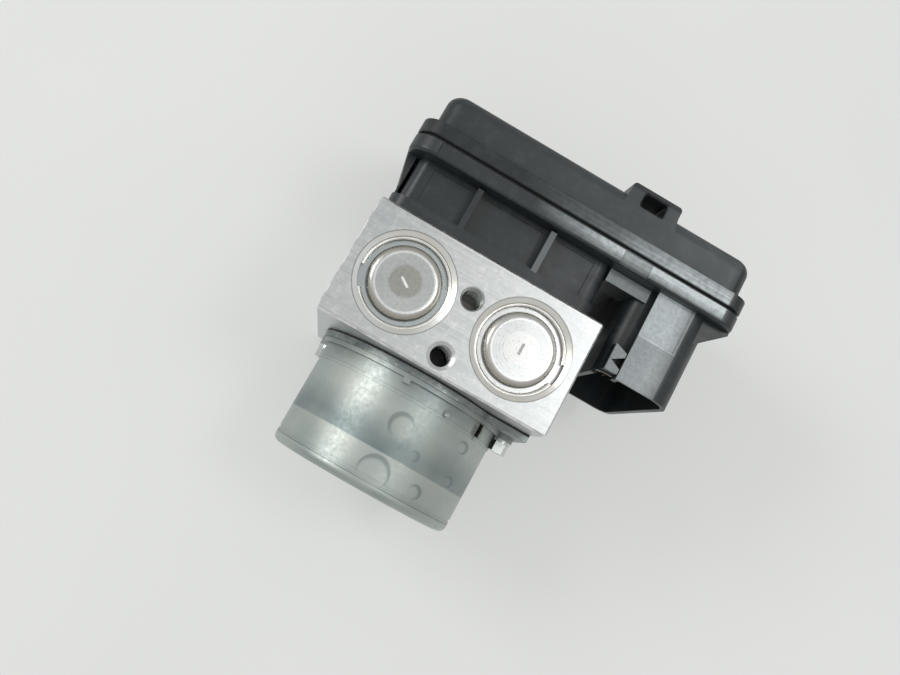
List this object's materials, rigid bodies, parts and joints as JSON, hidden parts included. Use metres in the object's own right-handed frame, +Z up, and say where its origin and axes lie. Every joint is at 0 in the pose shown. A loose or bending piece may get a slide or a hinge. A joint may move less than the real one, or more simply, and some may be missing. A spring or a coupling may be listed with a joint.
{
  "type": "abs brake module",
  "caption": "Anti-lock brake modulator: drilled aluminium valve block with a round pump motor, two sprung accumulators, solenoid valves and a black control unit with an open socket.",
  "frame": {"origin": "centre of the valve block's port face, which is the module's lowest face", "axes": "+Z up towards the accumulator caps, +Y from the motor to the control unit, +X along the block towards the socket"},
  "size_m": [0.12, 0.1288, 0.088],
  "materials": {
    "block": "milled, satin",
    "cap": "plated, satin",
    "ring_wire": "bright wire",
    "piston": "turned",
    "seal_rubber": "matt black",
    "spring_steel": "drawn wire",
    "hard_steel": "ground",
    "plug": "turned",
    "magnet": "sintered, dull",
    "carbon": "pressed carbon",
    "valve_steel": "turned",
    "motor_zinc": "zinc plated, satin, with handling marks",
    "end_plate": "zinc plated, dull",
    "screw": "zinc plated",
    "bronze": "sintered bronze",
    "core_iron": "laminated, dull",
    "copper": "enamelled copper",
    "inner_plastic": "moulded",
    "coil_plastic": "moulded over the windings",
    "housing_plastic": "moulded black, satin",
    "lid_plastic": "moulded black, satin",
    "board_green": "solder mask",
    "header": "pins in a black carrier"
  },
  "bodies": {
    "module": {"accumulator_cap_left": "cap", "accumulator_cap_right": "cap", "accumulator_spring_left": "spring_steel", "accumulator_spring_right": "spring_steel", "block_seal": "seal_rubber", "brush_holder": "inner_plastic", "brush_left": "carbon", "brush_right": "carbon", "cap_ring_left": "ring_wire", "cap_ring_right": "ring_wire", "circuit_board": "board_green", "coil_bank": "coil_plastic", "ecu_housing": "housing_plastic", "ecu_lid": "lid_plastic", "front_bush": "bronze", "housing_screws": "screw", "hydraulic_block": "block", "inlet_valve_1": "valve_steel", "inlet_valve_2": "valve_steel", "inlet_valve_3": "valve_steel", "inlet_valve_4": "valve_steel", "lid_gasket": "seal_rubber", "magnet_left": "magnet", "magnet_right": "magnet", "motor_can": "motor_zinc", "motor_end_plate": "end_plate", "motor_gasket": "seal_rubber", "motor_lead": "inner_plastic", "motor_screws": "screw", "outlet_valve_1": "valve_steel", "outlet_valve_2": "valve_steel", "outlet_valve_3": "valve_steel", "outlet_valve_4": "valve_steel", "pin_header": "header", "plunger_spring_left": "spring_steel", "plunger_spring_right": "spring_steel", "pump_plug_left": "plug", "pump_plug_right": "plug", "pump_sleeve_left": "hard_steel", "pump_sleeve_right": "hard_steel", "rear_bush": "bronze"},
    "rotor": {"rotor_shaft": "hard_steel", "armature_core": "core_iron", "armature_winding": "copper", "commutator": "copper"},
    "eccentric": {"eccentric_ring": "hard_steel"},
    "plunger_left": {"pump_plunger_left": "hard_steel"},
    "piston_left": {"accumulator_piston_left": "piston", "accumulator_seal_left": "seal_rubber"},
    "plunger_right": {"pump_plunger_right": "hard_steel"},
    "piston_right": {"accumulator_piston_right": "piston", "accumulator_seal_right": "seal_rubber"},
    "inlet_armature_1_body": {"inlet_armature_1": "hard_steel"},
    "inlet_armature_2_body": {"inlet_armature_2": "hard_steel"},
    "inlet_armature_3_body": {"inlet_armature_3": "hard_steel"},
    "inlet_armature_4_body": {"inlet_armature_4": "hard_steel"},
    "outlet_armature_1_body": {"outlet_armature_1": "hard_steel"},
    "outlet_armature_2_body": {"outlet_armature_2": "hard_steel"},
    "outlet_armature_3_body": {"outlet_armature_3": "hard_steel"},
    "outlet_armature_4_body": {"outlet_armature_4": "hard_steel"}
  },
  "joints": [
    {"name": "rotor_spin", "type": "hinge", "parent": "module", "child": "rotor", "pos_m": [0, -0.04, 0.044], "axis": [0, 1, 0], "continuous": true},
    {"name": "eccentric_ring_turn", "type": "hinge", "parent": "rotor", "child": "eccentric", "pos_m": [0, -0.007, 0.043], "axis": [0, 1, 0], "continuous": true},
    {"name": "plunger_left_slide", "type": "slide", "parent": "module", "child": "plunger_left", "axis": [1, 0, 0], "range_m": [0, 0.001], "deforming": ["plunger_spring_left"]},
    {"name": "piston_left_slide", "type": "slide", "parent": "module", "child": "piston_left", "axis": [0, 0, 1], "range_m": [0, 0.008], "stiffness_N_per_m": 3000, "springref_m": -0.006, "deforming": ["accumulator_spring_left"]},
    {"name": "plunger_right_slide", "type": "slide", "parent": "module", "child": "plunger_right", "axis": [1, 0, 0], "range_m": [-0.001, 0], "deforming": ["plunger_spring_right"]},
    {"name": "piston_right_slide", "type": "slide", "parent": "module", "child": "piston_right", "axis": [0, 0, 1], "range_m": [0, 0.008], "stiffness_N_per_m": 3000, "springref_m": -0.006, "deforming": ["accumulator_spring_right"]},
    {"name": "inlet_armature_1_slide", "type": "slide", "parent": "module", "child": "inlet_armature_1_body", "axis": [0, 1, 0], "range_m": [-0.0004, 0], "stiffness_N_per_m": 2000, "springref_m": 0.001},
    {"name": "inlet_armature_2_slide", "type": "slide", "parent": "module", "child": "inlet_armature_2_body", "axis": [0, 1, 0], "range_m": [-0.0004, 0], "stiffness_N_per_m": 2000, "springref_m": 0.001},
    {"name": "inlet_armature_3_slide", "type": "slide", "parent": "module", "child": "inlet_armature_3_body", "axis": [0, 1, 0], "range_m": [-0.0004, 0], "stiffness_N_per_m": 2000, "springref_m": 0.001},
    {"name": "inlet_armature_4_slide", "type": "slide", "parent": "module", "child": "inlet_armature_4_body", "axis": [0, 1, 0], "range_m": [-0.0004, 0], "stiffness_N_per_m": 2000, "springref_m": 0.001},
    {"name": "outlet_armature_1_slide", "type": "slide", "parent": "module", "child": "outlet_armature_1_body", "axis": [0, 1, 0], "range_m": [0, 0.0004], "stiffness_N_per_m": 2000, "springref_m": -0.001},
    {"name": "outlet_armature_2_slide", "type": "slide", "parent": "module", "child": "outlet_armature_2_body", "axis": [0, 1, 0], "range_m": [0, 0.0004], "stiffness_N_per_m": 2000, "springref_m": -0.001},
    {"name": "outlet_armature_3_slide", "type": "slide", "parent": "module", "child": "outlet_armature_3_body", "axis": [0, 1, 0], "range_m": [0, 0.0004], "stiffness_N_per_m": 2000, "springref_m": -0.001},
    {"name": "outlet_armature_4_slide", "type": "slide", "parent": "module", "child": "outlet_armature_4_body", "axis": [0, 1, 0], "range_m": [0, 0.0004], "stiffness_N_per_m": 2000, "springref_m": -0.001}
  ],
  "couplings": [
    {"joint": "eccentric_ring_turn", "follows": "rotor_spin", "ratio": -1}
  ]
}
